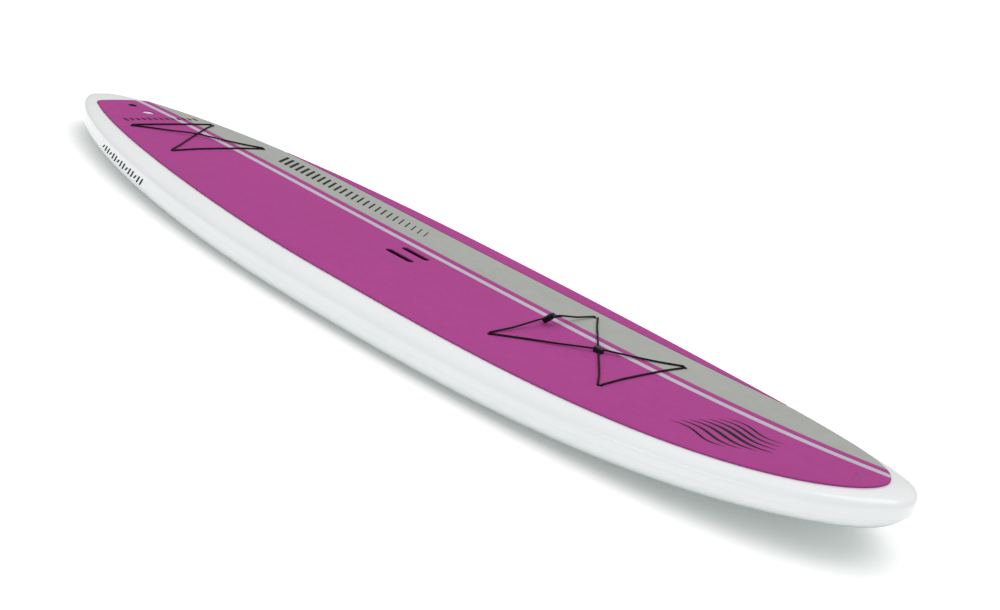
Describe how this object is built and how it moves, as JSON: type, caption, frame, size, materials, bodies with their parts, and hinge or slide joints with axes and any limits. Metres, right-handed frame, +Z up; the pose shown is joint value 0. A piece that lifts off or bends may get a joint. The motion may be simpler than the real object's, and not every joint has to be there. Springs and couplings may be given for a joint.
{
  "type": "stand up paddleboard",
  "caption": "Long rounded stand up paddleboard with a flat soft deck pad, raised nose, bungee tie-downs, sunken carry handle and fin box.",
  "frame": {"origin": "under the middle of the board, on the plane that its bottom touches", "axes": "+X to the nose, +Y to port, +Z up"},
  "size_m": [3.1988, 0.8132, 0.1744],
  "materials": {
    "foam": "expanded foam beads",
    "spine_wood": "plain timber",
    "hull_gloss": "gloss white laminate",
    "pad_magenta": "brushed soft foam",
    "pad_pale": "brushed soft foam",
    "pad_grey": "brushed soft foam",
    "tub_black": "moulded",
    "insert_white": "moulded",
    "steel": "stainless",
    "cord_black": "braided shock cord",
    "lock_black": "moulded",
    "spring_steel": "wire",
    "seal": "soft",
    "vent_screw": "moulded",
    "cap_magenta": "moulded",
    "fin_box": "moulded",
    "plate_brass": "machined"
  },
  "bodies": {
    "board": {"foam_core_port": "foam", "foam_core_starboard": "foam", "stringer": "spine_wood", "bottom_skin": "hull_gloss", "tail_bottom_skin": "hull_gloss", "deck_skin": "hull_gloss", "deck_pad_main": "pad_magenta", "deck_pad_pinstripe": "pad_pale", "deck_pad_thin_stripe": "pad_magenta", "deck_pad_grey_band": "pad_grey", "deck_pad_port_panel": "pad_magenta", "handle_tub": "tub_black", "nose_bungee_inserts": "insert_white", "nose_bungee_pins": "steel", "nose_bungee_cord": "cord_black", "tail_bungee_inserts": "insert_white", "tail_bungee_pins": "steel", "tail_bungee_cord": "cord_black", "bungee_crossing_clip": "lock_black", "leash_cup": "lock_black", "leash_bezel": "lock_black", "leash_bar": "steel", "vent_body": "insert_white", "vent_oring": "seal", "nose_plug_body": "cap_magenta", "fin_box": "fin_box"},
    "cord_lock": {"cord_lock_barrel": "lock_black", "cord_lock_spring": "spring_steel"},
    "cord_lock_button": {"cord_lock_button": "lock_black"},
    "fin_nut": {"fin_nut_plate": "plate_brass"},
    "fin_screw": {"fin_screw": "steel"},
    "vent_screw": {"vent_screw": "vent_screw"},
    "nose_cap": {"nose_plug_cap": "cap_magenta"}
  },
  "joints": [
    {"name": "cord_lock_slide", "type": "slide", "parent": "board", "child": "cord_lock", "axis": [0, 1, 0], "range_m": [-0.015, 0.015]},
    {"name": "cord_lock_press", "type": "slide", "parent": "cord_lock", "child": "cord_lock_button", "axis": [-0.7071, 0, -0.7071], "range_m": [0, 0.004], "stiffness_N_per_m": 500, "springref_m": -0.004, "deforming": ["cord_lock_spring"]},
    {"name": "fin_nut_slide", "type": "slide", "parent": "board", "child": "fin_nut", "axis": [0.9981, 0, -0.0615], "range_m": [-0.1755, 0.0515]},
    {"name": "fin_screw_turn", "type": "hinge", "parent": "fin_nut", "child": "fin_screw", "pos_m": [-1.17312, 0, 0.02926], "axis": [0.0615, 0, 0.9981], "continuous": true},
    {"name": "vent_screw_turn", "type": "hinge", "parent": "board", "child": "vent_screw", "pos_m": [-1.302, 0, 0.11963], "axis": [-0.0209, 0, 0.9998], "continuous": true},
    {"name": "nose_cap_turn", "type": "hinge", "parent": "board", "child": "nose_cap", "pos_m": [1.471, 0, 0.16345], "axis": [-0.1115, 0, 0.9938], "continuous": true}
  ]
}
